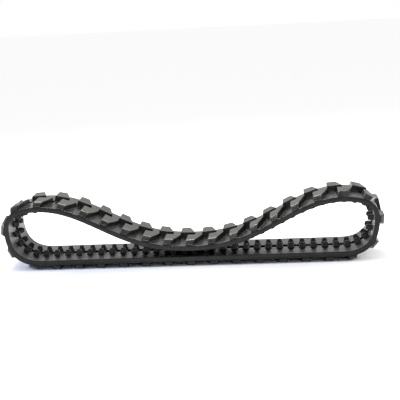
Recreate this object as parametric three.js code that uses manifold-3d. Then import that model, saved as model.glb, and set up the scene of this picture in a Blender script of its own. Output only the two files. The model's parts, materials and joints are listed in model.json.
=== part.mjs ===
// Rubber track for a mini excavator: an endless rubber belt with staggered tread lugs outside,
// steel cores with paired guide horns inside, and a steel cord ply on each side.
// The loop stands on its ground run and its slack top run sags until the upper guide horns sit
// between the lower ones. Millimetres, X along the track, Y across it, +Z up, origin on the
// ground under the middle of the loop.
import * as THREE from 'three';
import { mergeVertices } from 'three/addons/utils/BufferGeometryUtils.js';
import Module from 'manifold-3d';

const wasm = await Module();
wasm.setup();

// Track size: width, pitch from core to core, number of two-link modules in the loop
const trackWidth = 300;
const linkPitch = 52.5;
const moduleCount = 36;
const carcassThickness = 24;

// Tread lugs: one per side in each two-link module
const lugHeight = 24;
const lugCentreWidth = 69;
const lugEdgeWidth = 31;
const lugStart = 6;
const lugStagger = 40;
const shoulderWidth = 27;
const shoulderDrop = 18;
const lugWindowGap = 2;
const lugRoot = 8;
const envelopeMargin = 10;

// Guide horns, two on each core, tapered towards the tip
const hornHeight = 24;
const hornBaseLength = 28;
const hornTipLength = 19;
const hornBaseWidth = 20;
const hornTipWidth = 14;
const hornRowOffset = 38;
const hornCover = 3.5;
const hornRest = 1.5;

// Steel core and cord plies inside the carcass
const coreLength = 210;
const coreWidth = 25;
const coreBelowNeutral = 6;
const cordHeight = 1;
const cordThickness = 2.4;
const steelClearance = 0.3;

// Drive windows that the sprocket teeth enter, one between each two cores
const windowLength = 22;
const windowWidth = 40;
const windowWall = 2;

// Flexing joints between sections: gap on the hinge line, and the angle it opens by each way
const hingeGap = 1;
const openPivotGap = 6;
const flexAngle = THREE.MathUtils.degToRad(5);

// Sections: short ones round the end bends, long ones along the slopes and on the ground
const bendModules = 6;
const longSection = 2;

// Shape of the loop: places along the track and heights above the ground run's neutral line,
// from the middle of the ground run round one end to the middle of the sag
const sagRise = carcassThickness + hornHeight + hornRest;
const halfLoop = [
  [0, 0], [200, 0], [400, 0], [560, 0], [680, 0], [765, 0], [842, 50], [862, 150],
  [852, 238], [690, 264], [540, 226], [400, 152], [215, sagRise + 14], [0, sagRise - 7],
];

const halfThickness = carcassThickness / 2;
const groundNeutral = lugHeight + halfThickness;
const linkCount = 2 * moduleCount;
const loopLength = linkCount * linkPitch;
const stepsPerSpan = 24;

// Closed uniform cubic B-spline through the mirrored control points, stretched along the track
function sampleLoop(stretch) {
  const left = halfLoop.map(([x, z]) => [-x * stretch, z]);
  const right = halfLoop.slice(1, -1).reverse().map(([x, z]) => [x * stretch, z]);
  const control = [...left, ...right];
  const points = [];
  for (let span = 0; span < control.length; span += 1) {
    for (let step = 0; step < stepsPerSpan; step += 1) {
      const u = step / stepsPerSpan;
      const weights = [(1 - u) ** 3, 3 * u ** 3 - 6 * u * u + 4, 1 + 3 * u + 3 * u * u - 3 * u ** 3, u ** 3];
      const point = new THREE.Vector2();
      weights.forEach((weight, offset) => {
        const [x, z] = control[(span + offset - 1 + control.length) % control.length];
        point.x += weight * x / 6;
        point.y += weight * z / 6;
      });
      points.push(point);
    }
  }
  return points;
}

function measureLoop(points) {
  const reach = [0];
  points.forEach((point, index) => {
    const next = points[(index + 1) % points.length];
    reach.push(reach[index] + point.distanceTo(next));
  });
  return reach;
}

// The stretch that gives the loop its exact length, found by halving an interval
function fitLoop() {
  let low = 0.4;
  let high = 3;
  for (let round = 0; round < 40; round += 1) {
    const middle = (low + high) / 2;
    const reach = measureLoop(sampleLoop(middle));
    if (reach[reach.length - 1] < loopLength) {
      low = middle;
    } else {
      high = middle;
    }
  }
  return sampleLoop(low);
}

const loopPoints = fitLoop();
const loopReach = measureLoop(loopPoints);
const startIndex = loopPoints.reduce((best, point, index) => {
  const onGround = Math.abs(point.y) < 1;
  return onGround && Math.abs(point.x) < Math.abs(loopPoints[best].x) ? index : best;
}, 0);

// Point on the neutral line at a length along the loop from the middle of the ground run
function pointAt(length) {
  const total = loopReach[loopReach.length - 1];
  const target = (((length + loopReach[startIndex]) % total) + total) % total;
  let index = 0;
  while (loopReach[index + 1] < target) {
    index += 1;
  }
  const part = (target - loopReach[index]) / (loopReach[index + 1] - loopReach[index]);
  const next = loopPoints[(index + 1) % loopPoints.length];
  const flat = loopPoints[index].clone().lerp(next, part);
  return new THREE.Vector3(flat.x, 0, flat.y + groundNeutral);
}

// Link corners lie three quarters of a pitch off the middle, so upper and lower horns fall between
// each other
const cornerPhase = 0.75;

function corner(index) {
  return pointAt((index + cornerPhase) * linkPitch);
}

function linkDirection(index) {
  return corner(index + 1).sub(corner(index)).normalize();
}

function outwardFrom(direction) {
  return new THREE.Vector3(-direction.z, 0, direction.x);
}

// Place at a height from the neutral line on the mitre between two links
function mitrePoint(index, height) {
  const before = outwardFrom(linkDirection(index - 1));
  const after = outwardFrom(linkDirection(index));
  const mitre = before.add(after).normalize();
  return corner(index).add(mitre.multiplyScalar(height / mitre.dot(after)));
}

// Place on a section's end face, set back from the mitre by half the gap and the flex angle
function endPoint(index, height, inward, gap) {
  const setBack = gap / 2 + Math.abs(height) * Math.tan(flexAngle);
  return mitrePoint(index, height).add(inward.clone().multiplyScalar(setBack));
}

// Side outline of a section between two heights, with its end faces opened for flexing
function sectionOutline(section, outerHeight, innerHeight) {
  const { first, last, firstGap, lastGap, origin } = section;
  const forward = linkDirection(first);
  const backward = linkDirection(last - 1).negate();
  const startEdge = (height) => endPoint(first, height, forward, firstGap);
  const finishEdge = (height) => endPoint(last, height, backward, lastGap);
  const places = [startEdge(outerHeight)];
  for (let index = first + 1; index < last; index += 1) {
    places.push(mitrePoint(index, outerHeight));
  }
  places.push(finishEdge(outerHeight));
  if (outerHeight > 0 && innerHeight < 0) {
    places.push(finishEdge(0));
  }
  places.push(finishEdge(innerHeight));
  for (let index = last - 1; index > first; index -= 1) {
    places.push(mitrePoint(index, innerHeight));
  }
  places.push(startEdge(innerHeight));
  if (outerHeight > 0 && innerHeight < 0) {
    places.push(startEdge(0));
  }
  return places.map((place) => new THREE.Vector2(place.x - origin.x, place.z - origin.z));
}

// Outline in the X and Z directions, extruded across the track between two Y places
function extrudeAcross(outline, fromY, toY) {
  const depth = toY - fromY;
  const geometry = new THREE.ExtrudeGeometry(new THREE.Shape(outline), { depth, bevelEnabled: false });
  geometry.rotateX(Math.PI / 2);
  geometry.translate(0, toY, 0);
  return geometry;
}

function solidFrom(geometry) {
  const bare = geometry.clone();
  bare.deleteAttribute('normal');
  bare.deleteAttribute('uv');
  const merged = mergeVertices(bare, 1e-4);
  const vertProperties = new Float32Array(merged.attributes.position.array);
  const triVerts = new Uint32Array(merged.index.array);
  return new wasm.Manifold(new wasm.Mesh({ numProp: 3, vertProperties, triVerts }));
}

function geometryFrom(solid) {
  const mesh = solid.getMesh();
  const geometry = new THREE.BufferGeometry();
  geometry.setAttribute('position', new THREE.BufferAttribute(new Float32Array(mesh.vertProperties), 3));
  geometry.setIndex(new THREE.BufferAttribute(new Uint32Array(mesh.triVerts), 1));
  const faceted = geometry.toNonIndexed();
  faceted.computeVertexNormals();
  return faceted;
}

// Block that narrows from its base to its tip, standing on a link: u along, v across, n outward
function taperedBlock(base, tip, fromHeight, toHeight) {
  const geometry = new THREE.BoxGeometry(1, 1, 1);
  const position = geometry.attributes.position;
  for (let index = 0; index < position.count; index += 1) {
    const size = position.getZ(index) > 0 ? tip : base;
    position.setX(index, position.getX(index) * size[0]);
    position.setY(index, position.getY(index) * size[1]);
    position.setZ(index, position.getZ(index) > 0 ? toHeight : fromHeight);
  }
  return geometry;
}

// Tread lug in link directions: straight side first, diagonal side after it, wide end by the windows
function lugGeometry() {
  const half = trackWidth / 2;
  const inner = windowWidth / 2 + lugWindowGap;
  const top = halfThickness + lugHeight;
  const plan = new THREE.Shape([
    new THREE.Vector2(0, inner),
    new THREE.Vector2(lugCentreWidth, inner),
    new THREE.Vector2(lugEdgeWidth, half),
    new THREE.Vector2(0, half),
  ]);
  const block = new THREE.ExtrudeGeometry(plan, { depth: lugHeight + lugRoot, bevelEnabled: false });
  block.translate(0, 0, halfThickness - lugRoot);
  const profile = new THREE.Shape([
    new THREE.Vector2(-1, halfThickness - lugRoot - 1),
    new THREE.Vector2(half + 1, halfThickness - lugRoot - 1),
    new THREE.Vector2(half + 1, top - shoulderDrop),
    new THREE.Vector2(half - shoulderWidth, top),
    new THREE.Vector2(-1, top),
  ]);
  const side = new THREE.ExtrudeGeometry(profile, { depth: lugCentreWidth + 2, bevelEnabled: false });
  side.applyMatrix4(new THREE.Matrix4().makeBasis(
    new THREE.Vector3(0, 1, 0), new THREE.Vector3(0, 0, 1), new THREE.Vector3(1, 0, 0),
  ));
  side.translate(-1, 0, 0);
  return solidFrom(block).intersect(solidFrom(side));
}

const lugSolid = lugGeometry();
const lugMirrored = lugSolid.mirror([0, 1, 0]);

// Matrix that carries link directions into the section's frame
function linkMatrix(index, origin, alongLink, across) {
  const direction = linkDirection(index);
  const outward = outwardFrom(direction);
  const matrix = new THREE.Matrix4().makeBasis(direction, new THREE.Vector3(0, 1, 0), outward);
  const place = corner(index).sub(origin).add(direction.clone().multiplyScalar(alongLink));
  matrix.setPosition(place.x, across, place.z);
  return matrix;
}

// Matrix that stands a lug on the chord of the neutral line under it
function lugMatrix(start, origin) {
  const from = pointAt(start);
  const direction = pointAt(start + lugCentreWidth).sub(from).normalize();
  const matrix = new THREE.Matrix4().makeBasis(direction, new THREE.Vector3(0, 1, 0), outwardFrom(direction));
  return matrix.setPosition(from.sub(origin));
}

function placedSolid(geometry, matrix) {
  return solidFrom(geometry.clone().applyMatrix4(matrix));
}

// Place on a link at a distance along it and a height from the neutral line
function linkPoint(index, along, height) {
  const direction = linkDirection(index);
  return corner(index)
    .add(direction.clone().multiplyScalar(along))
    .add(outwardFrom(direction).multiplyScalar(height));
}

// Side outline of one section's steel: the cord ply's strip with a core bar hanging under each link
function steelOutline(section, growth) {
  const { first, last, firstGap, lastGap, origin } = section;
  const forward = linkDirection(first);
  const backward = linkDirection(last - 1).negate();
  const overrun = growth > 0 ? 2 : 0;
  const low = cordHeight - growth;
  const high = cordHeight + cordThickness + growth;
  const coreLow = -coreBelowNeutral - growth;
  const coreSides = [linkPitch / 2 + coreWidth / 2 + growth, linkPitch / 2 - coreWidth / 2 - growth];
  const places = [endPoint(first, high, forward, firstGap - overrun)];
  for (let index = first + 1; index < last; index += 1) {
    places.push(mitrePoint(index, high));
  }
  places.push(endPoint(last, high, backward, lastGap - overrun));
  places.push(endPoint(last, low, backward, lastGap - overrun));
  for (let index = last - 1; index >= first; index -= 1) {
    places.push(linkPoint(index, coreSides[0], low));
    places.push(linkPoint(index, coreSides[0], coreLow));
    places.push(linkPoint(index, coreSides[1], coreLow));
    places.push(linkPoint(index, coreSides[1], low));
    places.push(index > first ? mitrePoint(index, low) : endPoint(first, low, forward, firstGap - overrun));
  }
  return places.map((place) => new THREE.Vector2(place.x - origin.x, place.z - origin.z));
}

// Steel of one section: a core bar in each link and the cord ply that ties them, open round the windows.
// With a growth it is the hollow that the steel fills.
function steelSolid(section, growth) {
  const { first, last, origin } = section;
  const reach = coreLength / 2 + growth;
  const bars = solidFrom(extrudeAcross(steelOutline(section, growth), -reach, reach));
  const openingSize = [windowLength, windowWidth].map((size) => size + 2 * (windowWall - growth));
  const opening = taperedBlock(openingSize, openingSize, -carcassThickness, carcassThickness);
  const openings = [];
  for (let index = first; index <= last; index += 1) {
    openings.push(placedSolid(opening, linkMatrix(index, origin, 0, 0)));
  }
  return bars.subtract(wasm.Manifold.union(openings));
}

// Rubber of one section: carcass, tread lugs and horn covers, less the windows and the steel's hollow
function rubberSolid(section) {
  const { first, last, origin } = section;
  const halfWidth = trackWidth / 2;
  const carcassLine = sectionOutline(section, halfThickness, -halfThickness);
  const carcass = solidFrom(extrudeAcross(carcassLine, -halfWidth, halfWidth));
  const reach = halfThickness + lugHeight + envelopeMargin;
  const envelope = solidFrom(extrudeAcross(sectionOutline(section, reach, -reach), -halfWidth, halfWidth));
  const lugs = [];
  for (let index = first; index < last; index += 2) {
    const start = (index + cornerPhase) * linkPitch + lugStart;
    lugs.push(lugSolid.transform(lugMatrix(start, origin).elements));
    lugs.push(lugMirrored.transform(lugMatrix(start + lugStagger, origin).elements));
  }
  const horns = [];
  const windows = [];
  const cover = taperedBlock(
    [hornTipLength, hornTipWidth], [hornBaseLength, hornBaseWidth],
    -halfThickness - hornHeight, -halfThickness + 0.5,
  );
  for (let index = first; index < last; index += 1) {
    [-1, 1].forEach((side) => {
      horns.push(placedSolid(cover, linkMatrix(index, origin, linkPitch / 2, side * hornRowOffset)));
    });
  }
  const windowSize = [windowLength, windowWidth];
  const window = taperedBlock(windowSize, windowSize, -carcassThickness, carcassThickness);
  for (let index = first; index <= last; index += 1) {
    windows.push(placedSolid(window, linkMatrix(index, origin, 0, 0)));
  }
  const tread = wasm.Manifold.union(lugs).intersect(envelope);
  const body = wasm.Manifold.union([carcass, tread, ...horns]);
  return body.subtract(wasm.Manifold.union(windows)).subtract(steelSolid(section, steelClearance));
}

const rubberMaterial = new THREE.MeshStandardMaterial({ color: 0x3b3c38, roughness: 0.62, metalness: 0 });
const steelMaterial = new THREE.MeshStandardMaterial({ color: 0x6d6f70, roughness: 0.5, metalness: 0.9 });

function sectionGroup(name, section) {
  const group = new THREE.Group();
  group.position.copy(section.origin);
  const rubber = new THREE.Mesh(geometryFrom(rubberSolid(section)), rubberMaterial.clone());
  rubber.name = `${name}_rubber`;
  const steel = new THREE.Mesh(geometryFrom(steelSolid(section, 0)), steelMaterial.clone());
  steel.name = `${name}_steel_cores`;
  group.add(rubber, steel);
  return group;
}

// Section lengths in modules from the ground run up to the middle of the sag
function sideSections(modules) {
  const lengths = [];
  let left = modules;
  while (left > 0) {
    const length = lengths.length < bendModules ? 1 : Math.min(longSection, left);
    lengths.push(length);
    left -= length;
  }
  return lengths;
}

const sideModules = Math.floor(moduleCount / 3);
const groundModules = moduleCount - 2 * sideModules;
const groundFirst = -groundModules;
const groundLast = groundModules;
const track = new THREE.Group();

// Ground run: fixed sections side by side
let groundStart = groundFirst;
let groundNumber = 1;
while (groundStart < groundLast) {
  const last = Math.min(groundStart + 2 * longSection, groundLast);
  const origin = corner(last);
  const section = { first: groundStart, last, firstGap: hingeGap, lastGap: hingeGap, origin };
  track.add(sectionGroup(`ground_${groundNumber}`, section));
  groundStart = last;
  groundNumber += 1;
}

// Left chain climbs from the ground run's left end, the right chain from its right end, and the
// two meet at the open pivot in the middle of the sag
const lengths = sideSections(sideModules);
let leftStart = groundLast;
let rightStart = groundFirst;
lengths.forEach((length, index) => {
  const atTip = index === lengths.length - 1;
  const tipGap = atTip ? openPivotGap : hingeGap;
  const leftLast = leftStart + 2 * length;
  const left = {
    first: leftStart, last: leftLast, firstGap: hingeGap, lastGap: tipGap, origin: corner(leftStart),
  };
  track.add(sectionGroup(`left_${index + 1}`, left));
  leftStart = leftLast;
  const rightFirst = rightStart - 2 * length;
  const right = {
    first: rightFirst, last: rightStart, firstGap: tipGap, lastGap: hingeGap, origin: corner(rightStart),
  };
  track.add(sectionGroup(`right_${index + 1}`, right));
  rightStart = rightFirst;
});

// The origin lies under the middle of the whole length, lugs included
const bounds = new THREE.Box3().setFromObject(track);
track.position.x = -(bounds.min.x + bounds.max.x) / 2;

export default track;
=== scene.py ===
# Rubber track for a mini excavator: smooth belt, tread lugs and guide horns in black rubber.
# Metres, X along the track, Y across it, Z up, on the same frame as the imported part.
import json
import math

import bpy
import numpy as np
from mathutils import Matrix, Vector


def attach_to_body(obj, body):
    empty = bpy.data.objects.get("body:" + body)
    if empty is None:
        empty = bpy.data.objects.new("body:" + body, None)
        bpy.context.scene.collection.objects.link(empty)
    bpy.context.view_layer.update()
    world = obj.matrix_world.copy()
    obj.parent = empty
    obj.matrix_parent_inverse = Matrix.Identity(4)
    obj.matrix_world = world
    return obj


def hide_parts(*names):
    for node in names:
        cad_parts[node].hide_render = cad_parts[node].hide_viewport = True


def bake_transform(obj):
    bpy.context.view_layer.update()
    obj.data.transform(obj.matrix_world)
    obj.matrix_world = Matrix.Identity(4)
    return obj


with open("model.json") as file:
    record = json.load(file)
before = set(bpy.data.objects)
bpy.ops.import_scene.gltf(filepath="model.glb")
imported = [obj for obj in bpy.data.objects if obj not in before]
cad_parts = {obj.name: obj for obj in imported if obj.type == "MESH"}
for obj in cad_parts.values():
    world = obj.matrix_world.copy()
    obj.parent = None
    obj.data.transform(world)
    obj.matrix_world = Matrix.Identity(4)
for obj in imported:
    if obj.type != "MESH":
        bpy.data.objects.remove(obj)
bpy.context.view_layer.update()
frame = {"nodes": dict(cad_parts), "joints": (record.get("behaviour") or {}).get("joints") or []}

belt = {
    "width": 0.300,
    "pitch": 0.0525,
    "links": 72,
    "thickness": 0.024,
    "groundHeight": 0.036,
    "phase": 0.75,
    "sideRound": 0.0045,
    "flashHeight": 0.0006,
    "padHeight": 0.0012,
    "padReach": 0.108,
}
window = {
    "halfLength": 0.011,
    "halfWidth": 0.020,
    "lip": 0.0015,
    "cornerAlong": 0.14,  # how far a corner is drawn in along the belt, as a share of its distance
    "cornerAcross": 0.93,  # and where it ends up across the belt, as a share of its place
}

# Divisions of the loop, in links from its lowest point: the joints of each side, the end of the
# ground run and the open pivot.
firstLinks = [12, 14, 16, 18, 20, 22, 24, 28, 32]
groundEdge = 10.5
openLink = 36.5

# Half of the loop from the middle of the ground run to the middle of the sag: distance along the
# track and height over the ground run, as control points of a smooth closed curve
halfLoop = np.array([
    [0, 0], [0.200, 0], [0.400, 0], [0.560, 0], [0.680, 0], [0.765, 0], [0.842, 0.050],
    [0.862, 0.150], [0.852, 0.238], [0.690, 0.264], [0.540, 0.226], [0.400, 0.152],
    [0.215, 0.0635], [0, 0.0425],
])


# Closed cubic B-spline: each point is the sum of four control points, weighted by
# (1-u)^3, 3u^3-6u^2+4, 1+3u+3u^2-3u^3 and u^3, all over 6
def sampleLoop(stretch, steps=96):
    left = halfLoop * [-stretch, 1]
    right = (halfLoop * [stretch, 1])[1:-1][::-1]
    control = np.vstack([left, right])
    u = np.arange(steps) / steps
    weights = [(1 - u) ** 3, 3 * u**3 - 6 * u**2 + 4, 1 + 3 * u + 3 * u**2 - 3 * u**3, u**3]
    points = sum(
        weight[None, :, None] * np.roll(control, 1 - offset, axis=0)[:, None, :] / 6
        for offset, weight in enumerate(weights)
    )
    return points.reshape(-1, 2)


# Running length round the closed polyline, starting at 0
def runningLength(points):
    steps = np.linalg.norm(np.roll(points, -1, axis=0) - points, axis=1)
    return np.concatenate([[0], np.cumsum(steps)])


# The stretch that makes the loop as long as all its links, by halving an interval
def fitLoop():
    low, high = 0.4, 3.0
    for _ in range(40):
        middle = (low + high) / 2
        if runningLength(sampleLoop(middle))[-1] < belt["links"] * belt["pitch"]:
            low = middle
        else:
            high = middle
    return sampleLoop(low)


loopPoints = fitLoop()
loopReach = runningLength(loopPoints)
loopTangent = np.roll(loopPoints, -1, axis=0) - np.roll(loopPoints, 1, axis=0)
loopTangent /= np.linalg.norm(loopTangent, axis=1)[:, None]


# Place and direction of the neutral line at lengths along it: linear between samples
def placeOn(length):
    wrapped = np.mod(length, loopReach[-1])
    closed = np.vstack([loopPoints, loopPoints[:1]])
    turning = np.vstack([loopTangent, loopTangent[:1]])
    place = np.stack([np.interp(wrapped, loopReach, closed[:, axis]) for axis in (0, 1)], -1)
    along = np.stack([np.interp(wrapped, loopReach, turning[:, axis]) for axis in (0, 1)], -1)
    return place + [0, belt["groundHeight"]], along / np.linalg.norm(along, axis=-1)[..., None]


# Length along the neutral line at a link: its number plus the phase, times the pitch
def lengthAt(link):
    return (link + belt["phase"]) * belt["pitch"]


flexPlaces = {joint["name"]: joint["pos_m"] for joint in frame["joints"]}
shiftX = flexPlaces["left_flex_1"][0] - placeOn(lengthAt(firstLinks[0]))[0][0]


# Point on the belt: neutral line at a length, moved across by v and outward by h
def onBelt(length, v, h):
    place, along = placeOn(length)
    x = place[..., 0] - along[..., 1] * h + shiftX
    z = place[..., 1] + along[..., 0] * h
    return np.stack([x, np.broadcast_to(v, x.shape), z], -1)


# Rises from 0 to 1 between two values as 3t^2 - 2t^3
def smoothStep(values, start, end):
    t = np.clip((values - start) / (end - start), 0, 1)
    return t * t * (3 - 2 * t)


# Mesh from points, quads and larger faces, with each vertex normal averaged by face area over all
# but the hidden faces, and the belt place of every vertex kept for the patterns
def makeMesh(name, points, beltPlaces, quads, others=(), hidden=()):
    mesh = bpy.data.meshes.new(name)
    faces = [list(face) for face in quads.tolist()] + [list(face) for face in others]
    faces += [list(face) for face in hidden]
    mesh.from_pydata(points.tolist(), [], faces)
    mesh.validate()
    mesh.polygons.foreach_set("use_smooth", np.ones(len(mesh.polygons), bool))
    attribute = mesh.attributes.new("beltPlace", "FLOAT_VECTOR", "POINT")
    attribute.data.foreach_set("vector", beltPlaces.astype(np.float32).ravel())
    mesh.update()
    count = len(mesh.polygons)
    normals, areas = np.zeros(count * 3), np.zeros(count)
    totals, corners = np.zeros(count, int), np.zeros(len(mesh.loops), int)
    mesh.polygons.foreach_get("normal", normals)
    mesh.polygons.foreach_get("area", areas)
    mesh.polygons.foreach_get("loop_total", totals)
    mesh.loops.foreach_get("vertex_index", corners)
    weighted = normals.reshape(-1, 3) * areas[:, None]
    if len(hidden):
        weighted[-len(hidden):] *= 1e-4
    summed = np.zeros((len(mesh.vertices), 3))
    np.add.at(summed, corners, np.repeat(weighted, totals, axis=0))
    summed /= np.maximum(np.linalg.norm(summed, axis=1), 1e-12)[:, None]
    mesh.normals_split_custom_set_from_vertices(summed.tolist())
    made = bpy.data.objects.new(name, mesh)
    bpy.context.scene.collection.objects.link(made)
    return made


# Lines along the belt: the window edges, the core pads' slopes and the two ends
def beltRows(start, stop):
    offsets = np.array([
        -0.0125, -0.011, -0.0055, 0, 0.0055, 0.011, 0.0125, 0.0165, 0.0205, 0.02625, 0.0320, 0.0360,
    ])
    links = np.arange(math.floor(start) - 1, math.ceil(stop) + 2)
    rows = (lengthAt(links)[:, None] + offsets).ravel()
    low, high = lengthAt(start), lengthAt(stop)
    rows = rows[(rows > low + 1e-4) & (rows < high - 1e-4)]
    return np.concatenate([[low], rows, [high]])


# Section outline across the belt as one closed ring: outer face, far edge, inner face, near edge.
# The edges are quarter rounds joined by a flat with the mould's thin flash line along it.
def beltRing():
    half, thick, bend = belt["width"] / 2, belt["thickness"] / 2, belt["sideRound"]
    rest = np.array([0.028, 0.038, 0.050, 0.062, 0.076, 0.090, 0.104, 0.110, 0.120, 0.133])
    windowEdge = [0.008, 0.0150, window["halfWidth"], window["halfWidth"] + window["lip"]]
    right = np.concatenate([windowEdge, rest, [half - bend]])
    across = np.concatenate([-right[::-1], [0], right])
    turn = np.radians([67.5, 45, 22.5, 0])
    roundV, roundH = half - bend + bend * np.cos(turn), thick - bend + bend * np.sin(turn)
    edgeV = np.concatenate([roundV, [half, half + belt["flashHeight"], half], roundV[::-1]])
    edgeH = np.concatenate([roundH, [0.0010, 0, -0.0010], -roundH[::-1]])
    ringV = np.concatenate([across, edgeV, across[::-1], -edgeV[::-1]])
    ringH = np.concatenate([np.full(len(across), thick), edgeH, np.full(len(across), -thick), edgeH[::-1]])
    return ringV, ringH, len(across), len(edgeV)


# Belt between two links: the ring swept along the loop, with the window cells left out, walls
# through the windows and closed ends
def beltPiece(name, start, stop):
    rows = beltRows(start, stop)
    ringV, ringH, faceCount, edgeCount = beltRing()
    total = len(ringV)
    fromCorner = (np.mod(rows / belt["pitch"] - belt["phase"] + 0.5, 1) - 0.5) * belt["pitch"]
    along, v = np.meshgrid(rows, ringV, indexing="ij")
    h = np.broadcast_to(ringH, along.shape).copy()
    near = np.broadcast_to(fromCorner[:, None], along.shape)
    atRow = np.abs(near) <= window["halfLength"] + 1e-5
    atColumn = np.abs(v) <= window["halfWidth"] + 1e-5
    rowEdge = atRow & (np.abs(near) > window["halfLength"] - 1e-5)
    columnEdge = atColumn & (np.abs(v) > window["halfWidth"] - 1e-5)
    rim = atRow & atColumn & (rowEdge | columnEdge)
    h = np.where(rim, h - np.sign(h) * window["lip"], h)
    corner = rowEdge & columnEdge
    along = np.where(corner, along - near * window["cornerAlong"], along)
    v = np.where(corner, v * window["cornerAcross"], v)
    middle = np.mod(rows / belt["pitch"] - belt["phase"], 1) * belt["pitch"] - belt["pitch"] / 2
    pad = (1 - smoothStep(np.abs(middle), 0.006, 0.0125))[:, None]
    pad = pad * (1 - smoothStep(np.abs(v), belt["padReach"] - 0.012, belt["padReach"]))
    h = np.where(h < -belt["thickness"] / 2 + 1e-5, h - belt["padHeight"] * pad, h)
    points = onBelt(along, v, h).reshape(-1, 3)
    places = np.stack([along, v, h], -1).reshape(-1, 3)
    index = np.arange(len(rows) * total).reshape(len(rows), total)
    beside = np.roll(index, -1, axis=1)
    quads = np.stack([index[:-1], beside[:-1], beside[1:], index[1:]], -1)
    inRow = atRow[:, 0]
    innerStart = faceCount + edgeCount
    column = np.abs(ringV) <= window["halfWidth"] + 1e-5
    openCell = (inRow[:-1] & inRow[1:])[:, None] & (column & np.roll(column, -1))[None, :]
    quads = quads[~openCell]
    outerLow, outerHigh = np.flatnonzero(column[:faceCount])[[0, -1]]
    across = np.arange(faceCount)
    under = innerStart + faceCount - 1 - across
    wallRows = np.flatnonzero(inRow[:-1] & inRow[1:])
    walls = []
    if len(wallRows):
        low, high = index[wallRows], index[wallRows + 1]
        for one, other, edge in ((low, high, outerLow), (high, low, outerHigh)):
            sideWall = [one[:, edge], other[:, edge], other[:, under[edge]], one[:, under[edge]]]
            walls.append(np.stack(sideWall, -1))
        edgeRows = np.flatnonzero(rowEdge[:, outerLow + 1])
        span = across[outerLow:outerHigh]
        for sign in (-1, 1):
            ends = index[edgeRows[np.sign(fromCorner[edgeRows]) == sign]]
            endWall = [ends[:, span], ends[:, span + 1], ends[:, under[span + 1]], ends[:, under[span]]]
            strip = np.stack(endWall, -1)
            walls.append((strip if sign > 0 else strip[..., ::-1]).reshape(-1, 4))
    ends = []
    for row, flip in ((index[0], True), (index[-1], False)):
        bars = np.stack([row[across[:-1]], row[across[1:]], row[under[1:]], row[under[:-1]]], -1).tolist()
        far = row[np.arange(faceCount - 1, innerStart + 1)].tolist()
        close = np.concatenate([row[innerStart + faceCount - 1:], row[:1]]).tolist()
        group = bars + [far, close]
        ends += [face[::-1] if flip else face for face in group]
    allQuads = np.concatenate([quads, *[wall.reshape(-1, 4) for wall in walls]])[:, ::-1]
    return makeMesh(name, points, places, allQuads, hidden=[face[::-1] for face in ends])


lug = {
    "height": 0.024,
    "start": 0.006,
    "stagger": 0.040,
    "centreLength": 0.069,
    "edgeLength": 0.031,
    "innerEnd": 0.0225,
    "bulge": 0.003,
    "shoulderStart": 0.123,
    "shoulderDrop": 0.018,
    "cornerRound": 0.004,
    "middle": 0.025,  # the place along a lug that decides which stretch of belt carries it
}


# Plan of a lug with round corners: inner end, bowed diagonal side, outer end and straight side.
# The diagonal is a straight line plus bulge times sin(pi u).
def lugOutline():
    inner, outer, bend = lug["innerEnd"], belt["width"] / 2 - 0.0012, lug["cornerRound"]
    between = [0.040, 0.058, 0.076, 0.094, 0.108, 0.117, 0.123, 0.129, 0.137]
    levels = np.array([inner + bend, *between, outer - bend])
    share = (levels - inner) / (outer - inner)
    diagonal = lug["centreLength"] + (lug["edgeLength"] - lug["centreLength"]) * share
    diagonal = diagonal + lug["bulge"] * np.sin(np.pi * share)
    turn = np.radians([22.5, 45, 67.5])
    cos, sin = 1 - np.cos(turn), 1 - np.sin(turn)
    startEnd, farEnd = lug["centreLength"], lug["edgeLength"]
    a = [
        [bend, startEnd * 0.35, startEnd * 0.7, startEnd - bend], startEnd - bend * sin,
        diagonal, farEnd - bend * cos, [farEnd - bend, farEnd / 2, bend], bend * sin,
        np.zeros(len(levels)), bend * cos,
    ]
    v = [
        [inner] * 4, inner + bend * cos, levels, outer - bend * sin, [outer] * 3, outer - bend * cos,
        levels[::-1], inner + bend * sin,
    ]
    sideStart = 4 + len(turn)
    straightStart = sideStart + len(levels) + len(turn) + 3 + len(turn)
    return np.concatenate(a), np.concatenate(v), sideStart, straightStart, len(levels)


# Height of the lug's top over the neutral line across the belt: level, then a slope with a soft edge
def lugTop(v):
    full = belt["thickness"] / 2 + lug["height"]
    run = belt["width"] / 2 - lug["shoulderStart"]
    slope = lug["shoulderDrop"] / run
    past = np.abs(v) - lug["shoulderStart"]
    soft = 0.0015
    return full - slope * soft * np.log1p(np.exp(np.clip(past / soft, -40, 40)))


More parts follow.
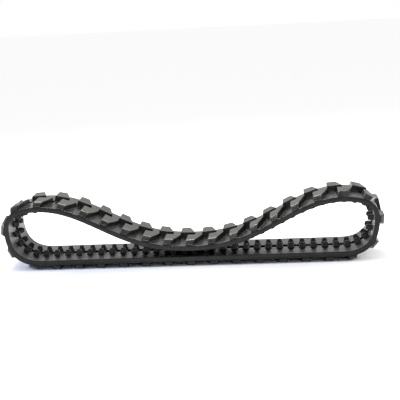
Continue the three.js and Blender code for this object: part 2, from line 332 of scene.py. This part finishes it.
# All lugs between two links as one mesh: each is its outline moved outward ring by ring, from a
# fillet at the base, up a drafted flank, over a round edge to the top
def lugPiece(name, start, stop):
    a, v, sideStart, straightStart, levelCount = lugOutline()
    da, dv = np.roll(a, -1) - np.roll(a, 1), np.roll(v, -1) - np.roll(v, 1)
    size = np.hypot(da, dv)
    outA, outV = dv / size, -da / size
    grow = np.array([0.0062, 0.0040, 0.0023, 0.0014, 0.0009, 0.0003, -0.0001, -0.0009, -0.0024])
    share = np.array([-0.14, 0.012, 0.055, 0.14, 0.45, 0.90, 0.952, 0.985, 1.0])
    ringA = a + grow[:, None] * outA
    ringV = np.maximum(v + grow[:, None] * outV, lug["innerEnd"] - 0.002)
    ringV = np.minimum(ringV, belt["width"] / 2 + 0.0004)
    base = belt["thickness"] / 2
    ringH = base + share[:, None] * (lugTop(v)[None, :] - base)
    rings, total = ringA.shape
    index = np.arange(rings * total).reshape(rings, total)
    beside = np.roll(index, -1, axis=1)
    quads = np.stack([index[:-1], beside[:-1], beside[1:], index[1:]], -1).reshape(-1, 4)
    top = index[-1]
    side = top[sideStart:sideStart + levelCount]
    straight = top[straightStart:straightStart + levelCount][::-1]
    ladder = np.stack([straight[:-1], side[:-1], side[1:], straight[1:]], -1)
    innerEnd = np.concatenate([top[straightStart + levelCount - 1:], top[:sideStart + 1]])
    outerEnd = top[sideStart + levelCount - 1:straightStart + 1]
    one = np.concatenate([quads, ladder])
    modules = np.arange(-belt["links"] // 4, belt["links"] // 4)
    first = lengthAt(2 * modules) + lug["start"]
    starts = np.concatenate([first, first + lug["stagger"]])
    sides = np.concatenate([np.ones(len(first)), -np.ones(len(first))])
    centre = (starts + lug["middle"]) / belt["pitch"] - belt["phase"]
    centre = np.where(centre > openLink, centre - belt["links"], centre)
    wrapped = starts - belt["links"] * belt["pitch"]
    starts = np.where(starts > lengthAt(openLink) - lug["middle"], wrapped, starts)
    kept = (centre >= start) & (centre < stop)
    starts, sides = starts[kept], sides[kept]
    fromPlace, _ = placeOn(starts)
    toPlace, _ = placeOn(starts + lug["centreLength"])
    chord = toPlace - fromPlace
    chord /= np.linalg.norm(chord, axis=1)[:, None]
    flatA, flatV, flatH = ringA.ravel(), ringV.ravel(), ringH.ravel()
    x = fromPlace[:, :1] + chord[:, :1] * flatA - chord[:, 1:] * flatH + shiftX
    z = fromPlace[:, 1:] + chord[:, 1:] * flatA + chord[:, :1] * flatH
    y = sides[:, None] * flatV
    points = np.stack([x, y, z], -1).reshape(-1, 3)
    places = np.stack([starts[:, None] + flatA, y, np.broadcast_to(flatH, y.shape)], -1).reshape(-1, 3)
    step = len(flatA)
    faces, ends = [], []
    for number, sign in enumerate(sides):
        moved = one + number * step
        faces.append(moved[:, ::-1] if sign > 0 else moved)
        for end in (innerEnd, outerEnd, index[0][::-1]):
            shifted = (end + number * step).tolist()
            ends.append(shifted[::-1] if sign > 0 else shifted)
    return makeMesh(name, points, places, np.concatenate(faces), ends)


horn = {
    "height": 0.024,
    "baseLength": 0.028,
    "tipLength": 0.019,
    "baseWidth": 0.020,
    "tipWidth": 0.014,
    "rowOffset": 0.038,
}


# All guide horns between two links: a rounded rectangle that shrinks from base to tip, ring by ring
def hornPiece(name, start, stop):
    turn = np.radians(np.add.outer([0, 90, 180, 270], [8, 45, 82])).ravel()
    signA, signV = np.sign(np.cos(turn)), np.sign(np.sin(turn))
    share = np.array([-0.08, 0.03, 0.16, 0.86, 0.955, 1.0])
    grow = np.array([0.0045, 0.0020, 0.0004, 0.0, -0.0012, -0.0036])
    halfA = (horn["baseLength"] + (horn["tipLength"] - horn["baseLength"]) * share) / 2 + grow
    halfV = (horn["baseWidth"] + (horn["tipWidth"] - horn["baseWidth"]) * share) / 2 + grow
    bend = 0.0032
    ringA = signA * (halfA[:, None] - bend) + bend * np.cos(turn)
    ringV = signV * (halfV[:, None] - bend) + bend * np.sin(turn)
    ringH = np.broadcast_to((-belt["thickness"] / 2 - share * horn["height"])[:, None], ringA.shape)
    rings, total = ringA.shape
    index = np.arange(rings * total).reshape(rings, total)
    beside = np.roll(index, -1, axis=1)
    one = np.stack([index[:-1], beside[:-1], beside[1:], index[1:]], -1).reshape(-1, 4)
    links = np.arange(math.ceil(start - 0.5 - 1e-6), math.ceil(stop - 0.5 - 1e-6))
    centres = np.repeat(lengthAt(links + 0.5), 2)
    rows = np.tile([-1.0, 1.0], len(links)) * horn["rowOffset"]
    place, along = placeOn(centres)
    flatA, flatV, flatH = ringA.ravel(), ringV.ravel(), ringH.ravel()
    x = place[:, :1] + along[:, :1] * flatA - along[:, 1:] * flatH + shiftX
    z = place[:, 1:] + along[:, 1:] * flatA + along[:, :1] * flatH
    y = rows[:, None] + flatV
    points = np.stack([x, y, z], -1).reshape(-1, 3)
    places = np.stack([centres[:, None] + flatA, y, np.broadcast_to(flatH, y.shape)], -1).reshape(-1, 3)
    step = len(flatA)
    numbers = np.arange(len(centres)) * step
    faces = (one[None] + numbers[:, None, None]).reshape(-1, 4)
    tips = [(index[-1] + number).tolist() for number in numbers]
    bases = [(index[0][::-1] + number).tolist() for number in numbers]
    return makeMesh(name, points, places, faces, tips + bases)


# sRGB hex to linear colour: ((c + 0.055) / 1.055) ^ 2.4 above 0.04045, c / 12.92 below
def linearColour(code):
    parts = [int(code[place:place + 2], 16) / 255 for place in (1, 3, 5)]
    return [*[((c + 0.055) / 1.055) ** 2.4 if c > 0.04045 else c / 12.92 for c in parts], 1]


# Adds one shader node with its settings and the values or links of its inputs
def addNode(tree, kind, settings=None, **inputs):
    made = tree.nodes.new(kind)
    for key, value in (settings or {}).items():
        setattr(made, key, value)
    for key, value in inputs.items():
        socket = made.inputs[int(key[1:])] if key[1:].isdigit() else made.inputs[key.replace("_", " ")]
        if isinstance(value, bpy.types.NodeSocket):
            tree.links.new(value, socket)
        else:
            socket.default_value = value
    return made


# New material with an empty node tree
def newMaterial(name):
    made = bpy.data.materials.new(name)
    made.use_nodes = True
    made.node_tree.nodes.clear()
    return made, made.node_tree


# Pattern sizes are in metres, written as one metre over how many fit in it. The grain is finer than
# this on real rubber and is drawn coarser so that it shows.
rubberLook = {
    "dark": "#0e0e0e",
    "light": "#1a1a19",
    "dust": "#4c493f",
    # Top colour of the lug and horn tops: partly a greyish dust bloom, partly painted light that lightens
    # the tops
    "bloomAndPaintedLight": "#2b2a24",
    "blotchSize": 1 / 22,  # about 45 mm
    "fineSize": 1 / 420,  # about 2.4 mm
    "grainSize": 1 / 1500,  # about 0.7 mm
    "flowSize": (1 / 60, 1 / 700, 1 / 300),  # about 17 mm along, 1.4 mm across, 3.3 mm outward
    "bloomAndLightStart": 0.0025,  # depth under the lug and horn tops, in metres, where the lighter top colour (dust bloom and painted light) begins
    "bloomAndLightFull": 0.0002,  # and where it is full
    "specular": 0.22,
}


# Moulded black rubber: near black with faint blotches, a greyish top colour on the lug and horn tops that
# is partly dust bloom and partly painted light, fine grain and shallow flow marks that hold some dust,
# uneven gloss
def mouldedRubber():
    made, tree = newMaterial("blackRubberMoulded")
    look = rubberLook
    base = belt["thickness"] / 2
    rise = {"interpolation_type": "SMOOTHSTEP"}
    colours = {"data_type": "RGBA"}
    place = addNode(tree, "ShaderNodeAttribute", {"attribute_name": "beltPlace"}).outputs["Vector"]
    height = addNode(tree, "ShaderNodeSeparateXYZ", Vector=place).outputs["Z"]
    blotch = addNode(
        tree, "ShaderNodeTexNoise", Vector=place, Scale=1 / look["blotchSize"], Detail=5.0, Roughness=0.6,
    ).outputs["Fac"]
    fine = addNode(
        tree, "ShaderNodeTexNoise", Vector=place, Scale=1 / look["fineSize"], Detail=4.0, Roughness=0.6,
    ).outputs["Fac"]
    grain = addNode(
        tree, "ShaderNodeTexNoise", Vector=place, Scale=1 / look["grainSize"], Detail=3.0, Roughness=0.5,
    ).outputs["Fac"]
    flowScale = tuple(1 / size for size in look["flowSize"])
    flowPlace = addNode(tree, "ShaderNodeMapping", Vector=place, Scale=flowScale).outputs["Vector"]
    flow = addNode(
        tree, "ShaderNodeTexNoise", Vector=flowPlace, Scale=1.0, Detail=4.0, Roughness=0.7,
    ).outputs["Fac"]

    # Lug and horn tops are lightened towards their tips: partly dust bloom, partly painted light standing
    # in for the light falling on the tops
    lugTopHeight = base + lug["height"]
    onLug = addNode(
        tree, "ShaderNodeMapRange", rise, Value=height,
        From_Min=lugTopHeight - look["bloomAndLightStart"], From_Max=lugTopHeight - look["bloomAndLightFull"],
    ).outputs["Result"]
    hornTopHeight = -base - horn["height"]
    onHorn = addNode(
        tree, "ShaderNodeMapRange", rise, Value=height,
        From_Min=hornTopHeight + look["bloomAndLightStart"], From_Max=hornTopHeight + look["bloomAndLightFull"],
    ).outputs["Result"]
    onTop = addNode(tree, "ShaderNodeMath", {"operation": "MAXIMUM"}, _0=onLug, _1=onHorn).outputs[0]
    patchy = addNode(
        tree, "ShaderNodeMapRange", Value=blotch, From_Min=0.35, From_Max=0.68,
    ).outputs["Result"]
    topBloomAndPaintedLight = addNode(
        tree, "ShaderNodeMath", {"operation": "MULTIPLY_ADD"}, _0=patchy, _1=0.35, _2=0.55,
    ).outputs[0]
    bloomAndPaintedLight = addNode(tree, "ShaderNodeMath", {"operation": "MULTIPLY"}, _0=onTop, _1=topBloomAndPaintedLight).outputs[0]
    inFlow = addNode(
        tree, "ShaderNodeMapRange", Value=flow, From_Min=0.5, From_Max=0.8, To_Max=0.30,
    ).outputs["Result"]
    dust = addNode(tree, "ShaderNodeMath", {"operation": "MULTIPLY"}, _0=inFlow, _1=patchy).outputs[0]

    dark = addNode(
        tree, "ShaderNodeMix", colours, Factor=patchy,
        _6=linearColour(look["dark"]), _7=linearColour(look["light"]),
    ).outputs[2]
    dusty = addNode(
        tree, "ShaderNodeMix", colours, Factor=dust, _6=dark, _7=linearColour(look["dust"]),
    ).outputs[2]
    # Mixes in the lighter top colour: dust bloom together with painted light on the lug and horn tops
    colour = addNode(
        tree, "ShaderNodeMix", colours, Factor=bloomAndPaintedLight, _6=dusty, _7=linearColour(look["bloomAndPaintedLight"]),
    ).outputs[2]

    gloss = addNode(
        tree, "ShaderNodeMapRange", Value=blotch, From_Min=0.3, From_Max=0.7, To_Min=0.16, To_Max=0.34,
    ).outputs["Result"]
    fineGloss = addNode(
        tree, "ShaderNodeMapRange", Value=fine, From_Min=0.3, From_Max=0.7, To_Min=-0.05, To_Max=0.07,
    ).outputs["Result"]
    uneven = addNode(tree, "ShaderNodeMath", {"operation": "ADD"}, _0=gloss, _1=fineGloss).outputs[0]
    rough = addNode(
        tree, "ShaderNodeMath", {"operation": "MULTIPLY_ADD"}, _0=bloomAndPaintedLight, _1=0.16, _2=uneven,
    ).outputs[0]
    grainBump = addNode(
        tree, "ShaderNodeBump", Height=grain, Strength=0.35, Distance=0.0002,
    ).outputs["Normal"]
    fineBump = addNode(
        tree, "ShaderNodeBump", Height=fine, Strength=0.45, Distance=0.0006, Normal=grainBump,
    ).outputs["Normal"]
    bump = addNode(
        tree, "ShaderNodeBump", Height=blotch, Strength=0.45, Distance=0.0030, Normal=fineBump,
    ).outputs["Normal"]
    shader = addNode(
        tree, "ShaderNodeBsdfPrincipled", Base_Color=colour, Roughness=rough, Normal=bump,
        Specular_IOR_Level=look["specular"],
    )
    addNode(tree, "ShaderNodeOutputMaterial", Surface=shader.outputs["BSDF"])
    return made


# Pattern sizes in metres: patches of about 17 mm and pits of about 1.4 mm
steelLook = {"scale": "#56585a", "rust": "#5a3d2c", "patchSize": 1 / 60, "pitSize": 1 / 700}


# Forged steel: dark mill scale with rusty patches, rough where it is scaled
def forgedSteel():
    made, tree = newMaterial("coreSteelForged")
    look = steelLook
    place = addNode(tree, "ShaderNodeTexCoord").outputs["Object"]
    patch = addNode(
        tree, "ShaderNodeTexNoise", Vector=place, Scale=1 / look["patchSize"], Detail=6.0, Roughness=0.65,
    ).outputs["Fac"]
    pits = addNode(
        tree, "ShaderNodeTexNoise", Vector=place, Scale=1 / look["pitSize"], Detail=4.0, Roughness=0.6,
    ).outputs["Fac"]
    rust = addNode(
        tree, "ShaderNodeMapRange", Value=patch, From_Min=0.52, From_Max=0.66,
    ).outputs["Result"]
    colour = addNode(
        tree, "ShaderNodeMix", {"data_type": "RGBA"}, Factor=rust,
        _6=linearColour(look["scale"]), _7=linearColour(look["rust"]),
    ).outputs[2]
    rough = addNode(
        tree, "ShaderNodeMapRange", Value=patch, From_Min=0.3, From_Max=0.7, To_Min=0.42, To_Max=0.78,
    ).outputs["Result"]
    metal = addNode(
        tree, "ShaderNodeMapRange", Value=rust, To_Min=0.95, To_Max=0.25,
    ).outputs["Result"]
    bump = addNode(tree, "ShaderNodeBump", Height=pits, Strength=0.5, Distance=0.0004).outputs["Normal"]
    shader = addNode(
        tree, "ShaderNodeBsdfPrincipled", Base_Color=colour, Roughness=rough, Metallic=metal, Normal=bump,
    )
    addNode(tree, "ShaderNodeOutputMaterial", Surface=shader.outputs["BSDF"])
    return made


rubber = mouldedRubber()
steel = forgedSteel()
print("materials made")


# Where each stretch of belt runs and which bodies it follows: the ground run is one body, every
# other stretch lies across one joint, and the two ends by the open pivot follow one body each
def stretches():
    listed = [("ground", -groundEdge, groundEdge, None)]
    edges = [groundEdge] + [link + 0.5 for link in firstLinks]
    for number in range(1, len(edges)):
        for side in ("left", "right"):
            near, far = edges[number - 1], edges[number]
            span = (near, far) if side == "left" else (-far, -near)
            listed.append((f"{side}_{number}", *span, number))
    last = len(firstLinks)
    listed.append(("left_end", edges[-1], openLink, None))
    listed.append(("right_end", openLink - belt["links"], -edges[-1], None))
    return listed, last


# Attaches one piece: it rides one body, or keeps its place with its transform baked in where it lies
# across a joint
def attach(made, name, number, last):
    if name == "ground":
        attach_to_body(made, "ground_run")
    elif number is None:
        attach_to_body(made, f"{name.split('_')[0]}_{last}")
    else:
        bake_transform(made)
    made.data.materials.append(rubber)


listed, last = stretches()
for name, start, stop, number in listed:
    carcass = beltPiece(f"belt_{name}", start, stop)
    attach(carcass, name, number, last)
    lugs = lugPiece(f"tread_lugs_{name}", start, stop)
    attach(lugs, name, number, last)
    horns = hornPiece(f"guide_horns_{name}", start, stop)
    attach(horns, name, number, last)
    if name == "ground":
        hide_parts(*[f"ground_{section}_rubber" for section in range(1, 7)])
    elif number is not None:
        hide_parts(f"{name}_rubber")
print("belt, lugs and horns made", len(listed))

for nodeName, part in frame["nodes"].items():
    part.data.materials.clear()
    part.data.materials.append(steel if "steel" in nodeName else rubber)
print("frame nodes finished")

# Pale floor and soft studio light
floorMaterial, floorTree = newMaterial("floorPaleMatte")
floorNoise = addNode(floorTree, "ShaderNodeTexNoise", Scale=3.0, Detail=3.0).outputs["Fac"]
floorRough = addNode(
    floorTree, "ShaderNodeMapRange", Value=floorNoise, To_Min=0.7, To_Max=0.85,
).outputs["Result"]
floorColour = linearColour("#fafafa")
floorShader = addNode(
    floorTree, "ShaderNodeBsdfPrincipled", Base_Color=floorColour, Roughness=floorRough,
)
addNode(floorTree, "ShaderNodeOutputMaterial", Surface=floorShader.outputs["BSDF"])
floorMesh = bpy.data.meshes.new("floor")
floorMesh.from_pydata([(-30, -30, 0), (30, -30, 0), (30, 30, 0), (-30, 30, 0)], [], [(0, 1, 2, 3)])
floorMesh.materials.append(floorMaterial)
floor = bpy.data.objects.new("floor", floorMesh)
bpy.context.scene.collection.objects.link(floor)


# Area light at a place, aimed at a point
def addLight(name, place, aim, size, power, colour):
    data = bpy.data.lights.new(name, "AREA")
    data.shape = "RECTANGLE"
    data.size, data.size_y = size
    data.energy = power
    data.color = linearColour(colour)[:3]
    made = bpy.data.objects.new(name, data)
    made.location = place
    direction = np.array(aim) - np.array(place)
    made.rotation_euler = Vector(direction).to_track_quat("-Z", "Y").to_euler()
    bpy.context.scene.collection.objects.link(made)


addLight("overheadSoftbox", (-0.4, 1.6, 2.6), (0, 0, 0.2), (2.4, 0.35), 130, "#fffdf8")
addLight("leftStrip", (-2.6, -1.2, 1.5), (0, 0, 0.2), (0.15, 1.2), 55, "#cfdcff")
addLight("rightStrip", (3.0, -0.6, 1.4), (0, 0, 0.2), (0.2, 1.4), 50, "#ffffff")
world = bpy.data.worlds.new("studio")
world.use_nodes = True
world.node_tree.nodes["Background"].inputs["Color"].default_value = (1, 1, 1, 1)
world.node_tree.nodes["Background"].inputs["Strength"].default_value = 1.0
bpy.context.scene.world = world
bpy.context.scene.view_settings.view_transform = "Standard"


# Camera from its place and three angles: round the object, above the floor and the roll
def addCamera(place, azimuth, elevation, roll, lens):
    a, e, r = np.radians([azimuth, elevation, roll])
    ahead = np.array([-math.sin(a) * math.cos(e), math.cos(a) * math.cos(e), -math.sin(e)])
    right = np.array([math.cos(a), math.sin(a), 0])
    up = np.cross(right, ahead)
    axisX = math.cos(r) * right - math.sin(r) * up
    axisY = math.sin(r) * right + math.cos(r) * up
    data = bpy.data.cameras.new("camera")
    data.lens, data.sensor_width = lens, 36
    made = bpy.data.objects.new("camera", data)
    bpy.context.scene.collection.objects.link(made)
    columns = np.stack([axisX, axisY, -ahead, place], axis=1)
    made.matrix_world = Matrix([*columns.tolist(), [0, 0, 0, 1]])
    bpy.context.scene.camera = made


view = {
    "place": (0.4515, -4.7960, 1.2454),
    "azimuth": 4.86,
    "elevation": 11.34,
    "roll": 2.98,
    "lens": 94.5,
}
addCamera(**view)
print("floor, lights and camera set")
